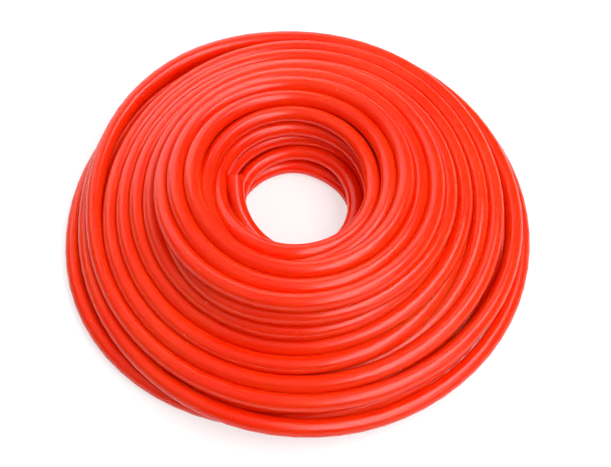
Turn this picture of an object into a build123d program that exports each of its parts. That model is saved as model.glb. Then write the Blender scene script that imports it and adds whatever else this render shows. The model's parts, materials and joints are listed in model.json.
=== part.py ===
# Coil of thick-walled vacuum tubing, lying flat as it comes off the winder.
# Millimetres, +Z up. The origin is on the floor, on the axis of the coil's eye.
# The front of the coil is towards -Y, and angles run from +X towards +Y.
import os
from math import atan2, cos, degrees, radians, sin, tan
from build123d import *

# Tube
tube_od = 10.0
tube_bore = 5.0
end_bore_depth = 60.0  # how far the bore is followed in from each cut end

# Lay of the winding, to the centres of its turns
turn_spacing = 10.2
eye_radius = 39.0  # lowest turn round the eye
flare_radius, flare_height = 47.0, 42.0  # top of the eye's flared wall
crest_radius, crest_height = 65.0, 52.5  # highest turn
slope_radius, slope_height = 92.0, 38.0
shoulder_radius, shoulder_height = 118.0, 27.5
coil_radius = 139.5  # outermost turn, on the floor
groove_angle = 50.0  # how far a turn's round back shows on each side of its top
seat_press = 0.8  # how far the outermost turn is pressed against the two that it lies by
seat_rise = 60.0  # slope, in degrees, up to the turn that lies on it from within

# Outer end: the last turn lies on the floor and is cut off behind the coil
outer_end_angle = 102.0
outer_end_straight = 16.0
outer_tuck_angle = 175.0  # where the last turn comes out of the winding
outer_tuck_radius = 60.0
outer_tuck_turn = 42.0
outer_tuck_rise = 20.0  # how steeply, in degrees, it comes down from within the winding

# Inner end: drawn up the left of the eye's wall, route chosen by hand as
# angle, radius and height, from the cut end down into the winding
inner_end_route = [
    (172.0, 37.5, 42.5),
    (200.0, 36.5, 32.0),
    (232.0, 36.0, 26.5),
    (263.0, 35.5, 24.0),
    (293.0, 37.5, 22.5),
    (318.0, 46.0, 21.5),
]
run_share = 0.45  # share of the shorter run that each bend takes up

tube_radius = tube_od / 2
outwards, inwards, downwards, full_turn = 0.0, 180.0, 270.0, 360.0  # directions, in degrees


def on_coil(angle, radius, height):
    """A point by its angle round the coil's axis, its radius and its height."""
    return Vector(radius * cos(radians(angle)), radius * sin(radians(angle)), height)


def outermost_neighbour(direction):
    """Centre of the turn that presses on the outermost one from a direction, in degrees."""
    reach = tube_od - seat_press
    across = reach * cos(radians(direction))
    up = reach * sin(radians(direction))
    return Vector(coil_radius + across, tube_radius + up)


def lay_line():
    """The line through the centres of the turns that show, from the eye over the crest and down."""
    return Spline(
        (eye_radius, tube_radius),
        (flare_radius, flare_height),
        (crest_radius, crest_height),
        (slope_radius, slope_height),
        (shoulder_radius, shoulder_height),
        outermost_neighbour(inwards - seat_rise),
        tangents=[(0, 1), (cos(radians(seat_rise)), -sin(radians(seat_rise)))],
    )


def turn_centres():
    """(centre, outward normal) of each turn that shows, evenly spaced along the lay line."""
    line = lay_line()
    count = max(round(line.length / turn_spacing), 2)
    turns = []
    for k in range(count + 1):
        along = line.tangent_at(k / count)
        turns.append((line.position_at(k / count), Vector(-along.Y, along.X)))
    return turns


def round_back(centre, first, last):
    """The arc of a turn's outside between two directions, in degrees, in the section plane."""
    at = [centre + Vector(tube_radius, 0).rotate(Axis.Z, a) for a in (first, (first + last) / 2, last)]
    return ThreePointArc(*at)


def winding_section():
    """Half section of the winding: the round backs of its turns, over a flat underside."""
    backs = []
    for k, (centre, outward) in enumerate(turn_centres()):
        facing = degrees(atan2(outward.Y, outward.X))
        first = downwards if k == 0 else facing + groove_angle
        backs.append(round_back(centre, first, facing - groove_angle))
    backs.append(round_back(outermost_neighbour(inwards), outwards, downwards - full_turn))
    grooves = [Line(a @ 1, b @ 0) for a, b in zip(backs, backs[1:])]
    underside = Line(backs[-1] @ 1, backs[0] @ 0)
    return make_face([*backs, *grooves, underside])


def winding():
    """All the turns that lie packed on each other, as one solid."""
    return revolve(Plane.XZ * winding_section(), Axis.Z)


def swept(path, diameter):
    """A round rod along a path."""
    start = Plane(path @ 0, z_dir=path % 0)
    return sweep(start * Circle(diameter / 2), path)


def outer_end_path():
    """From the outer cut end, straight, then round the floor and up into the winding."""
    round_floor = outer_tuck_angle - outer_end_angle - full_turn
    turn = CenterArc((0, 0, tube_radius), coil_radius, outer_end_angle, round_floor)
    tail = Line(turn @ 0 - (turn % 0) * outer_end_straight, turn @ 0)
    rise = radians(outer_tuck_rise)
    bend_way = Vector(-cos(rise), 0, sin(rise)).rotate(Axis.Z, outer_tuck_angle)
    bend_plane = Plane(turn @ 1, x_dir=turn % 1, z_dir=(turn % 1).cross(bend_way))
    bend = CenterArc((0, outer_tuck_radius), outer_tuck_radius, downwards, outer_tuck_turn)
    return Wire([tail, turn, bend_plane * bend])


def inner_end_path():
    """From the inner cut end down the eye's wall, in runs joined by the largest arcs that fit."""
    points = [on_coil(*place) for place in inner_end_route]
    radii = []
    for a, b, c in zip(points, points[1:], points[2:]):
        turn = (b - a).get_angle(c - b)
        shorter = min((b - a).length, (c - b).length)
        radii.append(run_share * shorter / tan(radians(turn / 2)))
    print("inner end radii", [round(radius, 1) for radius in radii])
    return FilletPolyline(*points, radius=radii)


def first_stretch(path, length):
    """The part of a path from its start to a length along it."""
    return path.trim(0, length / path.length)


def tubing():
    """The coil with its two ends, as the one piece of tube that it is."""
    coil = winding()
    paths = [Wire(outer_end_path().edges()), Wire(inner_end_path().edges())]
    for path in paths:
        coil += swept(path, tube_od)
    for path in paths:
        coil -= swept(first_stretch(path, end_bore_depth), tube_bore)
    return coil


os.makedirs("parts", exist_ok=True)
part = tubing()
part.label = "vacuum_tubing"
export_step(part, "parts/vacuum_tubing.step")
print("volume", round(part.volume), "solids", len(part.solids()), "valid", part.is_valid)
print("box", part.bounding_box())
for name, path in (("outer", outer_end_path()), ("inner", inner_end_path())):
    first_run = path.edges().sort_by_distance(path @ 0)[0]
    print(name, "end", path @ 0, "out along", (path % 0) * -1, "straight", round(first_run.length, 2))
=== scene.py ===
# Coil of red rubber vacuum tubing: one continuous length of tube, wound turn over turn.
import json
from math import cos, radians, sin

import bpy
import numpy as np
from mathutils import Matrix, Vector


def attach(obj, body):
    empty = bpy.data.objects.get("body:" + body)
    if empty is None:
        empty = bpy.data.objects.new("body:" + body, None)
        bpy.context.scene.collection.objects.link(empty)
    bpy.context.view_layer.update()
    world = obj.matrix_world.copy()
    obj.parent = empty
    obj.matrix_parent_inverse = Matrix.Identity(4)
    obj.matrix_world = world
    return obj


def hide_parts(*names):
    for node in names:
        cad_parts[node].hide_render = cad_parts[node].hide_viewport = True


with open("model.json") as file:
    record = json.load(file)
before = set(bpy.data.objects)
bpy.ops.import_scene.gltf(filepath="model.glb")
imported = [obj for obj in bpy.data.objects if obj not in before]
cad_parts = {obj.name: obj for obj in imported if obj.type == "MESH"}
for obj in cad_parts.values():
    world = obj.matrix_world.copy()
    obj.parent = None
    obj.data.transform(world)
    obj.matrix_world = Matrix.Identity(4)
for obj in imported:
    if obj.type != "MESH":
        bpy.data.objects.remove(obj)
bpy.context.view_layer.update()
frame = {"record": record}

# Tube, in metres
MOUNTS = {mount["name"]: mount for mount in frame["record"]["mounts"]}
TUBE_WIDTH = 0.010
TUBE_RADIUS = TUBE_WIDTH / 2
MM_PER_M = 1000
BORE_RADIUS = MOUNTS["inner_end_bore"]["dims"]["r_mm"] / MM_PER_M
BORE_DEPTH = 0.060  # how far the bore is followed in from each cut end
RIM_ROUND = 0.0003  # the cut edges are a little blunt

# Camera
PHOTO_WIDTH_PX, PHOTO_HEIGHT_PX = 611, 467
EYE_FOOT_PX = (297.0, 218.6)  # where the floor under the eye's axis shows in the photograph
FOCAL_PX = 750.0
CAMERA_DISTANCE = 0.4747
CAMERA_ELEVATION = 60.0
SENSOR_WIDTH = 36.0

# The route, as angle in degrees, radius and height in tube widths, one knot a row.
# Angles run from +X through +Y. Each stretch starts on the first turn that is free.
FREE_END = [
    (172, 3.72, 4.25),
    (200, 3.66, 3.20),
    (232, 3.72, 2.55),
    (263, 3.86, 2.20),
    (300, 3.80, 2.00),
    (360, 3.62, 1.85),
    (450, 4.08, 1.50),
    (540, 3.92, 0.85),
    (630, 3.95, 0.50),
    (720, 3.85, 0.50),
    (750, 3.66, 0.50),
    (780, 3.55, 0.50),
    (810, 3.72, 0.50),
    (870, 3.82, 0.50),
    (892, 3.86, 0.50),
]
EYE_RIM = [
    (90, 4.60, 3.45),
    (180, 4.70, 4.05),
    (270, 5.10, 4.70),
    (308, 4.80, 4.40),
    (360, 4.50, 4.25),
    (450, 4.92, 4.45),
    (540, 5.30, 4.85),
    (563, 5.55, 4.88),
]
CREST = [
    (308, 5.52, 4.95),
    (360, 5.40, 4.92),
    (450, 5.88, 4.80),
    (540, 6.00, 5.60),
    (630, 6.20, 5.15),
    (720, 6.25, 5.25),
    (810, 6.86, 4.90),
    (900, 6.95, 5.40),
    (990, 7.28, 5.30),
    (1080, 7.20, 4.80),
    (1170, 7.74, 4.65),
    (1260, 7.75, 4.80),
    (1350, 8.29, 5.55),
    (1440, 8.05, 4.75),
    (1530, 8.84, 4.20),
    (1620, 8.55, 3.85),
    (1710, 9.12, 3.67),
    (1745, 9.00, 3.75),
]
SLOPE = [
    (180, 7.60, 3.80),
    (215, 8.15, 4.25),
    (238, 8.65, 4.45),
    (270, 8.63, 4.60),
    (360, 8.90, 4.20),
    (450, 9.44, 3.62),
    (540, 9.50, 3.40),
    (630, 9.72, 2.82),
    (720, 10.00, 3.45),
    (810, 10.54, 3.40),
    (900, 10.36, 2.93),
    (990, 10.73, 2.75),
    (1028, 10.53, 2.80),
]
LOOSE_TURN = [
    (0, 12.75, 0.50),
    (40, 13.02, 0.50),
    (100, 13.12, 0.50),
    (125, 13.35, 0.50),
    (150, 13.72, 0.50),
    (180, 13.90, 0.50),
    (210, 14.03, 0.50),
    (225, 13.86, 0.50),
    (240, 13.54, 0.50),
    (255, 13.20, 0.50),
    (272, 12.85, 0.62),
    (290, 12.72, 1.00),
    (325, 12.85, 0.95),
]
OUTSIDE = [
    (355, 10.92, 3.05),
    (450, 11.67, 3.05),
    (540, 11.20, 2.46),
    (605, 11.52, 2.48),
    (630, 11.66, 2.42),
    (655, 11.65, 2.50),
    (720, 11.90, 2.77),
    (765, 12.30, 2.85),
    (810, 12.64, 2.85),
    (855, 13.10, 2.80),
    (872, 12.90, 2.60),
    (900, 12.34, 2.20),
    (990, 12.45, 2.23),
    (1080, 13.22, 1.60),
    (1110, 13.38, 1.50),
    (1140, 13.45, 1.50),
    (1170, 13.55, 1.45),
    (1215, 13.62, 1.60),
    (1260, 12.97, 1.35),
    (1305, 13.10, 1.45),
    (1335, 13.42, 1.45),
    (1350, 13.46, 1.10),
    (1380, 13.66, 0.60),
    (1410, 13.96, 0.50),
    (1440, 14.04, 0.50),
    (1485, 14.04, 0.50),
    (1548, 14.04, 0.50),
]
# The turn just behind the outermost ones, in the same form. It holds its place as they do.
OUTER_CORE = [
    (15, 12.30, 1.30),
    (60, 12.50, 1.40),
    (100, 12.60, 1.38),
    (142, 12.62, 1.35),
    (172, 11.95, 1.30),
    (217, 11.80, 1.28),
    (240, 12.40, 1.32),
    (262, 12.55, 1.32),
    (285, 12.20, 1.42),
    (330, 11.75, 1.50),
    (430, 11.70, 1.55),
    (495, 12.05, 1.95),
    (547, 11.20, 1.50),
    (630, 10.90, 1.75),
]
# Turns inside the winding, one place a turn, as radius and height in tube widths
EYE_WALL = [(4.85, 0.8), (4.45, 2.4)]
INNER_CORE = [
    (5.55, 3.4), (5.45, 2.45), (5.4, 1.5), (5.6, 0.55),
    (6.5, 0.5), (6.4, 1.45), (6.45, 2.4), (6.5, 3.35), (6.3, 4.2),
]
MIDDLE_CORE = [
    (8.8, 2.65), (9.5, 1.85), (9.3, 0.75), (8.35, 0.5), (7.45, 0.5),
    (7.35, 1.45), (8.3, 1.45), (7.85, 2.3), (7.45, 3.2),
]
FLOOR_CORE = [(10.4, 1.9), (10.25, 0.95), (11.1, 0.5), (12.0, 0.5)]
SINK_ANGLE = 150  # how far a turn runs on while it sinks into the winding
FULL_TURN = 360
QUARTER_TURN = 90
POINTS_PER_TURN = 24

# How the turns settle on each other
SETTLE_ROUNDS = 400
FLOOR_HEIGHT = 0.5  # of a tube that lies on the floor, in tube widths
HOLD_SHARE = 0.08  # how strongly a turn that shows keeps its place in each round
SHOWN_MOBILITY_SHARE = 0.1  # how much it gives way beside a hidden turn
PUSH_SHARE = 0.6
BEND_SHARE = 0.25  # how far each point shares its neighbours' shift along the tube

# Tube mesh
SPLINE_STEPS = 3
TUBE_SIDES = 24
RIM_SIDES = 4

# Rubber
STRAIGHT_TUBE = "straight_tube"  # each point's place on the tube before it was wound, in metres
DEEP_RED = (1.0, 0.027, 0.0008, 1)
LIT_RED = (1.0, 0.042, 0.0025, 1)
NOISE_RANGE = (0.3, 0.7)  # between which most of a noise lies
BATCH_WAVES, BATCH_DETAIL = 18, 3
SMEAR_WAVES, SMEAR_DETAIL = 60, 4
ROUGHNESS_RANGE = (0.18, 0.26)
DIE_LINE_STRETCH = (1, 1, 0.02)
DIE_LINE_WAVES, DIE_LINE_DETAIL, DIE_LINE_DEPTH = 1100, 3, 0.00004
GRAIN_WAVES, GRAIN_DETAIL, GRAIN_DEPTH = 1800, 2, 0.00003
SILICONE_IOR = 1.41
SILICONE_SPECULAR = 0.55
SUBSURFACE_WEIGHT = 1.0
RED_REACH = 0.0035  # how far red light goes through the rubber
RED_REACH_SHARES = (1.0, 0.2, 0.1)
DUST_COLOUR = (0.95, 0.72, 0.66, 1)
DUST_CELLS = 330
DUST_SIZE_SHARE, DUST_CORE_SHARE = 0.09, 0.045  # of a cell, to a speck's edge and its full height
DUST_SHARE = 0.04  # of the cells that hold a speck
DUST_HEIGHT = 0.00015

# Studio
FLOOR_REACH = 6.0
FLOOR_COLOUR = (0.86, 0.86, 0.86, 1)  # as it lights the coil
FLOOR_SHADED_COLOUR = (0.45, 0.45, 0.45, 1)  # as the shadow shows on it
FLOOR_GLOW = 0.60  # how bright the paper is without the lamps, beside the coil
FLOOR_FADE = (0.25, 1.0)  # distances from the coil's axis between which it runs out to white
WHITE = (1, 1, 1, 1)
WHITE_STRENGTH = 1
HORIZON_HEIGHTS = (0.05, 0.12)  # of a direction one unit long, from the white up to the ceiling
CEILING_STRENGTH = 0.10
# Name, place and aim in metres, size in metres, power in watts
SOFTBOXES = [
    ("key", (0.45, -0.25, 1.0), (0.45, -0.25, 0.0), (0.5, 1.3), 11.5),
    ("right", (0.9, -0.8, 0.85), (0.0, 0.0, 0.03), (0.8, 0.6), 2.8),
    ("fill", (-0.42, 0.76, 0.5), (0.0, 0.0, 0.03), (1.2, 1.0), 7.0),
    ("overhead", (-0.5, -0.15, 1.1), (-0.2, 0.0, 0.0), (1.2, 1.4), 2.0),
]


def route_knots():
    """(knots, shown): each place along the tube, with an angle that keeps growing, and if it shows."""
    knots, shown = [], []

    def lay(stretch):
        turns = 0
        while knots and stretch[0][0] + turns * FULL_TURN <= knots[-1][0]:
            turns += 1
        for angle, radius, height in stretch:
            knots.append((angle + turns * FULL_TURN, radius, height))
            shown.append(1.0)

    def lay_core(places, run_on=SINK_ANGLE):
        start = knots[-1][0] + run_on
        for turn, (radius, height) in enumerate(places):
            knots.append((start + turn * FULL_TURN, radius, height))
            shown.append(0.0)

    lay(FREE_END)
    lay_core(EYE_WALL, FULL_TURN)
    lay(EYE_RIM)
    lay_core(INNER_CORE)
    lay(CREST)
    lay_core(MIDDLE_CORE)
    lay(SLOPE)
    lay_core(FLOOR_CORE)
    lay(LOOSE_TURN)
    lay(OUTER_CORE)
    lay(OUTSIDE)
    return np.array(knots), np.array(shown)


def curve_through(knots, angles):
    """Radius and height at each angle, on a cubic through the knots with central slopes."""
    at, values = knots[:, 0], knots[:, 1:]
    slopes = np.gradient(values, at, axis=0)
    k = np.clip(np.searchsorted(at, angles, side="right") - 1, 0, len(at) - 2)
    span = (at[k + 1] - at[k])[:, None]
    t = (angles - at[k])[:, None] / span
    first = (1 + 2 * t) * (1 - t) ** 2 * values[k] + t * (1 - t) ** 2 * span * slopes[k]
    last = t**2 * (3 - 2 * t) * values[k + 1] + t**2 * (t - 1) * span * slopes[k + 1]
    return first + last


def push_apart(places, mobility):
    """How far turns that lie in each other move apart, in each half plane through the axis."""
    move = np.zeros_like(places)
    for first in range(POINTS_PER_TURN):
        here = slice(first, None, POINTS_PER_TURN)
        apart = places[here][:, None] - places[here][None]
        distance = np.hypot(apart[..., 0], apart[..., 1])
        np.fill_diagonal(distance, np.inf)
        overlap = np.clip(1 - distance, 0, None)
        own_share = mobility[here][:, None] / (mobility[here][:, None] + mobility[here][None])
        push = apart / np.where(np.isinf(distance), 1, distance)[..., None]
        move[here] = PUSH_SHARE * (push * (overlap * own_share)[..., None]).sum(axis=1)
    return move


def settle(chosen, shown):
    """The chosen places after the turns have pushed each other apart, with none below the floor."""
    mobility = 1 - (1 - SHOWN_MOBILITY_SHARE) * shown
    places = chosen.copy()
    for _ in range(SETTLE_ROUNDS):
        shift = places + push_apart(places, mobility) - chosen
        shift[1:-1] = (1 - 2 * BEND_SHARE) * shift[1:-1] + BEND_SHARE * (shift[:-2] + shift[2:])
        places = chosen + shift * (1 - HOLD_SHARE * shown)[:, None]
        places[:, 1] = np.maximum(places[:, 1], FLOOR_HEIGHT)
    return places


def coil_route():
    """Control points of the whole tube, in metres, from the inner end to the outer one."""
    knots, shown = route_knots()
    angles = np.arange(knots[0, 0], knots[-1, 0], FULL_TURN / POINTS_PER_TURN)
    places = settle(curve_through(knots, angles), np.interp(angles, knots[:, 0], shown))
    turned = np.radians(angles)
    across = places[:, 0] * TUBE_WIDTH
    return np.column_stack([across * np.cos(turned), across * np.sin(turned), places[:, 1] * TUBE_WIDTH])


def spline_points(control):
    """Points along one smooth spline that has these control points."""
    curve = bpy.data.curves.new("tube_route", "CURVE")
    curve.dimensions = "3D"
    spline = curve.splines.new("NURBS")
    spline.points.add(len(control) - 1)
    spline.points.foreach_set("co", np.column_stack([control, np.ones(len(control))]).ravel())
    spline.order_u = 3
    spline.use_endpoint_u = True
    spline.resolution_u = SPLINE_STEPS
    holder = bpy.data.objects.new("tube_route", curve)
    mesh = bpy.data.meshes.new_from_object(holder)
    points = np.array([vertex.co[:] for vertex in mesh.vertices])
    bpy.data.objects.remove(holder)
    bpy.data.curves.remove(curve)
    bpy.data.meshes.remove(mesh)
    return points


def ring_frames(points):
    """(along, side, up) unit directions at each point of a line that never stands upright."""
    along = np.gradient(points, axis=0)
    along /= np.linalg.norm(along, axis=1, keepdims=True)
    side = np.cross(along, (0.0, 0.0, 1.0))
    side /= np.linalg.norm(side, axis=1, keepdims=True)
    return along, side, np.cross(side, along)


def end_rings(points, frames, run):
    """Rings (centre, side, up, radius, run) from the middle of a blind bore out over the cut rim."""
    along, side, up = frames
    rings = []
    for k in range(int(np.searchsorted(run, BORE_DEPTH)), 0, -1):
        rings.append((points[k], side[k], up[k], BORE_RADIUS, run[k]))
    start, out = points[0], -along[0]
    for corner in range(RIM_SIDES + 1):
        turn = radians(QUARTER_TURN * corner / RIM_SIDES)
        back = RIM_ROUND * (1 - sin(turn))
        in_by = RIM_ROUND * (1 - cos(turn))
        rings.append((start - out * back, side[0], up[0], BORE_RADIUS + in_by, back))
    for corner in range(RIM_SIDES + 1):
        turn = radians(QUARTER_TURN * corner / RIM_SIDES)
        back = RIM_ROUND * (1 - cos(turn))
        in_by = RIM_ROUND * (1 - sin(turn))
        rings.append((start - out * back, side[0], up[0], TUBE_RADIUS - in_by, back))
    return rings


def tube_rings(points):
    """All rings of the tube, from one blind bore over its rim, along the outside and into the other."""
    along, side, up = ring_frames(points)
    run = np.concatenate([[0], np.cumsum(np.linalg.norm(np.diff(points, axis=0), axis=1))])
    rings = end_rings(points, (along, side, up), run)
    rings += [(points[k], side[k], up[k], TUBE_RADIUS, run[k]) for k in range(1, len(points) - 1)]
    far_run = run[-1] - run[::-1]
    far = end_rings(points[::-1], (-along[::-1], side[::-1], up[::-1]), far_run)
    rings += [(*ring[:4], run[-1] - ring[4]) for ring in far[::-1]]
    return rings


def tube_mesh(points):
    """Closed mesh of the tube: its whole outside, and a blind bore in at each cut end."""
    rings = tube_rings(points)
    turn = 2 * np.pi * np.arange(TUBE_SIDES) / TUBE_SIDES
    round_x, round_y = np.cos(turn), np.sin(turn)
    vertices, unwound = [], []
    for centre, side, up, radius, run in rings:
        vertices.append(centre + radius * (np.outer(round_x, side) + np.outer(round_y, up)))
        unwound.append(np.column_stack([radius * round_x, radius * round_y, np.full(TUBE_SIDES, run)]))
    faces = []
    for ring in range(len(rings) - 1):
        for k in range(TUBE_SIDES):
            a = ring * TUBE_SIDES + k
            b = ring * TUBE_SIDES + (k + 1) % TUBE_SIDES
            faces.append((a, b, b + TUBE_SIDES, a + TUBE_SIDES))
    faces.append(tuple(range(TUBE_SIDES - 1, -1, -1)))
    faces.append(tuple(range((len(rings) - 1) * TUBE_SIDES, len(rings) * TUBE_SIDES)))
    mesh = bpy.data.meshes.new("vacuum_tube")
    mesh.from_pydata(np.concatenate(vertices).tolist(), [], faces)
    mesh.update()
    mesh.shade_smooth()
    straight = mesh.attributes.new(STRAIGHT_TUBE, "FLOAT_VECTOR", "POINT")
    straight.data.foreach_set("vector", np.concatenate(unwound).ravel())
    return mesh


def add_node(tree, kind, values=None, **settings):
    """A new node with its settings made, and its inputs set to values or linked to sockets."""
    node = tree.nodes.new(kind)
    for name, setting in settings.items():
        setattr(node, name, setting)
    for name, value in (values or {}).items():
        if isinstance(value, bpy.types.NodeSocket):
            tree.links.new(value, node.inputs[name])
        else:
            node.inputs[name].default_value = value
    return node


def noise(tree, place, scale, detail):
    """Noise between 0 and 1 at a place, with so many waves to the metre."""
    return add_node(tree, "ShaderNodeTexNoise",
                    {"Vector": place, "Scale": scale, "Detail": detail}).outputs["Fac"]


def mapped(tree, value, low, high, to_low, to_high):
    """A value between low and high, taken smoothly to another range."""
    return add_node(tree, "ShaderNodeMapRange", {
        "Value": value, "From Min": low, "From Max": high, "To Min": to_low, "To Max": to_high,
    }, interpolation_type="SMOOTHSTEP").outputs["Result"]


def mixed(tree, share, first, second):
    """A colour between two others."""
    node = add_node(tree, "ShaderNodeMix", data_type="RGBA")
    tree.links.new(share, node.inputs["Factor"])
    for name, colour in (("A", first), ("B", second)):
        socket = next(s for s in node.inputs if s.name == name and s.type == "RGBA")
        if isinstance(colour, bpy.types.NodeSocket):
            tree.links.new(colour, socket)
        else:
            socket.default_value = colour
    return next(s for s in node.outputs if s.type == "RGBA")


def dust(tree, place):
    """1 on the few specks that lie on the tube, 0 between them."""
    cells = add_node(tree, "ShaderNodeTexVoronoi", {"Vector": place, "Scale": DUST_CELLS})
    speck = mapped(tree, cells.outputs["Distance"], DUST_SIZE_SHARE, DUST_CORE_SHARE, 0, 1)
    pick = add_node(tree, "ShaderNodeSeparateColor", {"Color": cells.outputs["Color"]}).outputs["Red"]
    chosen = add_node(tree, "ShaderNodeMath", {0: pick, 1: DUST_SHARE}, operation="LESS_THAN").outputs[0]
    return add_node(tree, "ShaderNodeMath", {0: speck, 1: chosen}, operation="MULTIPLY").outputs[0]


def rubber():
    """Satin orange-red silicone that lets red light through, with faint die lines and a little dust."""
    material = bpy.data.materials.new("red_rubber")
    material.use_nodes = True
    tree = material.node_tree
    shader = tree.nodes["Principled BSDF"]
    place = add_node(tree, "ShaderNodeTexCoord").outputs["Object"]
    straight = add_node(tree, "ShaderNodeAttribute", attribute_name=STRAIGHT_TUBE).outputs["Vector"]
    drawn = add_node(tree, "ShaderNodeMapping", {"Vector": straight, "Scale": DIE_LINE_STRETCH})

    batch = mapped(tree, noise(tree, place, BATCH_WAVES, BATCH_DETAIL), *NOISE_RANGE, 0, 1)
    colour = mixed(tree, batch, DEEP_RED, LIT_RED)
    specks = dust(tree, place)
    tree.links.new(mixed(tree, specks, colour, DUST_COLOUR), shader.inputs["Base Color"])

    smears = noise(tree, place, SMEAR_WAVES, SMEAR_DETAIL)
    gloss = mapped(tree, smears, *NOISE_RANGE, *ROUGHNESS_RANGE)
    tree.links.new(gloss, shader.inputs["Roughness"])

    lines = noise(tree, drawn.outputs["Vector"], DIE_LINE_WAVES, DIE_LINE_DETAIL)
    grain = noise(tree, place, GRAIN_WAVES, GRAIN_DETAIL)
    drawn_bump = add_node(tree, "ShaderNodeBump", {"Height": lines, "Distance": DIE_LINE_DEPTH})
    skin_bump = add_node(tree, "ShaderNodeBump", {
        "Height": grain, "Distance": GRAIN_DEPTH, "Normal": drawn_bump.outputs["Normal"],
    })
    speck_bump = add_node(tree, "ShaderNodeBump", {
        "Height": specks, "Distance": DUST_HEIGHT, "Normal": skin_bump.outputs["Normal"],
    })
    tree.links.new(speck_bump.outputs["Normal"], shader.inputs["Normal"])

    shader.inputs["IOR"].default_value = SILICONE_IOR
    shader.inputs["Specular IOR Level"].default_value = SILICONE_SPECULAR
    shader.inputs["Subsurface Weight"].default_value = SUBSURFACE_WEIGHT
    shader.inputs["Subsurface Radius"].default_value = RED_REACH_SHARES
    shader.inputs["Subsurface Scale"].default_value = RED_REACH
    return material


def make_tube():
    """The tube as one piece, attached to the root body in place of the imported tubing."""
    points = spline_points(coil_route())
    tube = bpy.data.objects.new("vacuum_tube", tube_mesh(points))
    bpy.context.collection.objects.link(tube)
    tube.data.materials.append(rubber())
    length = float(np.linalg.norm(np.diff(points, axis=0), axis=1).sum())
    print("tube length", round(length, 3))
    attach(tube, "root")
    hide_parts("vacuum_tubing")


def make_camera():
    """The photograph's view: down on the coil from the front, with its framing."""
    lens = bpy.data.cameras.new("camera")
    lens.sensor_width = SENSOR_WIDTH
    lens.lens = SENSOR_WIDTH * FOCAL_PX / PHOTO_WIDTH_PX
    lens.shift_x = (PHOTO_WIDTH_PX / 2 - EYE_FOOT_PX[0]) / PHOTO_WIDTH_PX
    lens.shift_y = (EYE_FOOT_PX[1] - PHOTO_HEIGHT_PX / 2) / PHOTO_WIDTH_PX
    camera = bpy.data.objects.new("camera", lens)
    elevation = radians(CAMERA_ELEVATION)
    camera.location = Vector((0, -cos(elevation), sin(elevation))) * CAMERA_DISTANCE
    camera.rotation_euler = (radians(QUARTER_TURN - CAMERA_ELEVATION), 0, 0)
    bpy.context.collection.objects.link(camera)
    bpy.context.scene.camera = camera


def floor_material():
    """White paper that keeps a soft shadow, and shows as a white background."""
    material = bpy.data.materials.new("white_floor")
    material.use_nodes = True
    tree = material.node_tree
    tree.nodes.clear()
    paper = add_node(tree, "ShaderNodeBsdfDiffuse", {"Color": FLOOR_COLOUR})
    shaded = add_node(tree, "ShaderNodeBsdfDiffuse", {"Color": FLOOR_SHADED_COLOUR})
    place = add_node(tree, "ShaderNodeTexCoord").outputs["Object"]
    distance = add_node(tree, "ShaderNodeVectorMath", {0: place}, operation="LENGTH").outputs["Value"]
    brightness = mapped(tree, distance, *FLOOR_FADE, FLOOR_GLOW, WHITE_STRENGTH)
    glow = add_node(tree, "ShaderNodeEmission", {"Strength": brightness})
    background = add_node(tree, "ShaderNodeAddShader", {0: shaded.outputs[0], 1: glow.outputs[0]})
    path = add_node(tree, "ShaderNodeLightPath").outputs
    seen = add_node(tree, "ShaderNodeMath", {0: path["Is Camera Ray"], 1: path["Is Glossy Ray"]},
                    operation="MAXIMUM")
    seen = add_node(tree, "ShaderNodeMath", {0: seen.outputs[0], 1: path["Is Transmission Ray"]},
                    operation="MAXIMUM")
    surface = add_node(tree, "ShaderNodeMixShader",
                       {0: seen.outputs[0], 1: paper.outputs[0], 2: background.outputs[0]})
    add_node(tree, "ShaderNodeOutputMaterial", {"Surface": surface.outputs[0]})
    return material


def make_floor():
    """A wide white floor."""
    mesh = bpy.data.meshes.new("floor")
    corners = [(x * FLOOR_REACH, y * FLOOR_REACH, 0) for x, y in ((-1, -1), (1, -1), (1, 1), (-1, 1))]
    mesh.from_pydata(corners, [], [(0, 1, 2, 3)])
    floor = bpy.data.objects.new("floor", mesh)
    bpy.context.collection.objects.link(floor)
    floor.data.materials.append(floor_material())


def make_world():
    """A studio with a white horizon and a dim ceiling."""
    world = bpy.data.worlds.new("studio")
    bpy.context.scene.world = world
    world.use_nodes = True
    tree = world.node_tree
    direction = add_node(tree, "ShaderNodeTexCoord").outputs["Generated"]
    height = add_node(tree, "ShaderNodeSeparateXYZ", {"Vector": direction}).outputs["Z"]
    strength = mapped(tree, height, *HORIZON_HEIGHTS, WHITE_STRENGTH, CEILING_STRENGTH)
    tree.links.new(strength, tree.nodes["Background"].inputs["Strength"])
    tree.nodes["Background"].inputs["Color"].default_value = WHITE


def make_softbox(name, place, aim, size, power):
    """A rectangular soft lamp that faces a point."""
    lamp = bpy.data.lights.new(name, "AREA")
    lamp.shape = "RECTANGLE"
    lamp.size, lamp.size_y = size
    lamp.energy = power
    softbox = bpy.data.objects.new(name, lamp)
    softbox.location = place
    softbox.rotation_euler = (Vector(aim) - Vector(place)).to_track_quat("-Z", "Y").to_euler()
    bpy.context.collection.objects.link(softbox)


make_camera()
make_tube()
make_floor()
make_world()
for softbox in SOFTBOXES:
    make_softbox(*softbox)
bpy.context.scene.view_settings.view_transform = "Standard"
